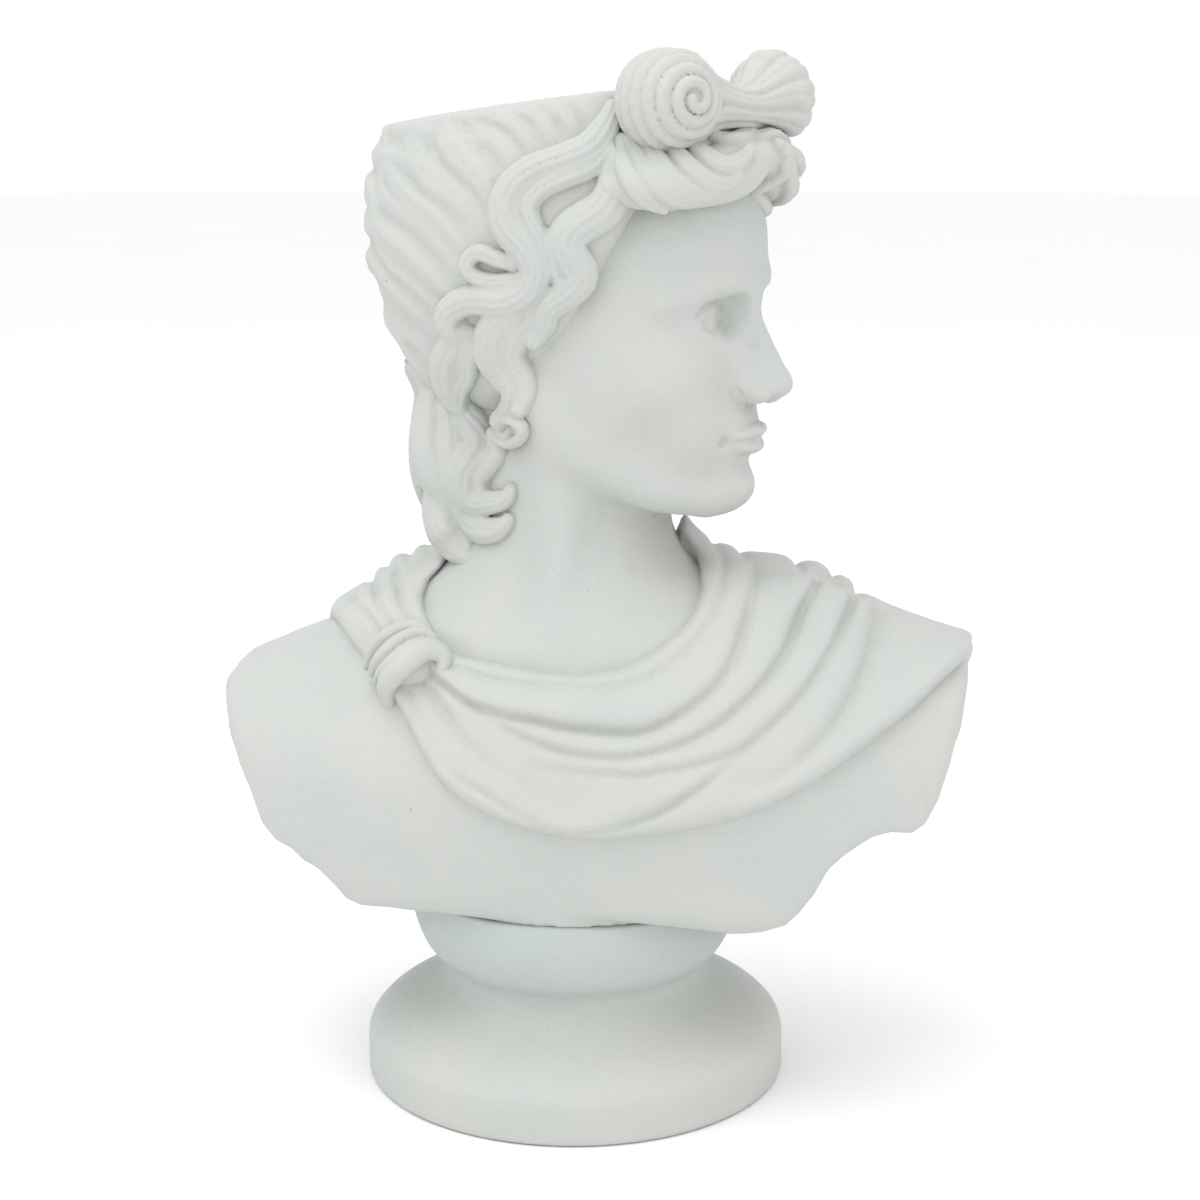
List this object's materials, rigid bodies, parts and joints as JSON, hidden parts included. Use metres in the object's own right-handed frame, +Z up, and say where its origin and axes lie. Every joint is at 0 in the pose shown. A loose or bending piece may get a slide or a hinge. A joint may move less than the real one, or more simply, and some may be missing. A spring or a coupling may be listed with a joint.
{
  "type": "bust planter",
  "caption": "Draped classical bust with its head turned to one side and an open planting well in the crown, on a turned round socle.",
  "frame": {"origin": "centre of the base felt's underside, on the socle's axis", "axes": "+Z up; the torso faces -Y; +X is the figure's own left, the side that the head is turned to"},
  "size_m": [0.3375, 0.1955, 0.46],
  "materials": {
    "cast_stone": "matte white cast stone with fine grain and pinholes",
    "grout": "matte lime bedding",
    "felt": "pressed felt",
    "steel": "zinc plated",
    "brass": "machined"
  },
  "bodies": {
    "root": {"base_felt": "felt", "socle": "cast_stone", "bedding_ring": "grout", "tie_rod": "steel", "tie_washer": "steel", "tie_nut": "steel", "anchor_insert": "brass", "neck_pin": "steel", "bow_pins": "steel", "torso": "cast_stone", "cloak": "cast_stone", "cloak_knot": "cast_stone", "head": "cast_stone", "hair_bow": "cast_stone", "front_hair_roll": "cast_stone", "side_locks_right": "cast_stone", "side_locks_left": "cast_stone", "nape_locks": "cast_stone"}
  },
  "joints": []
}
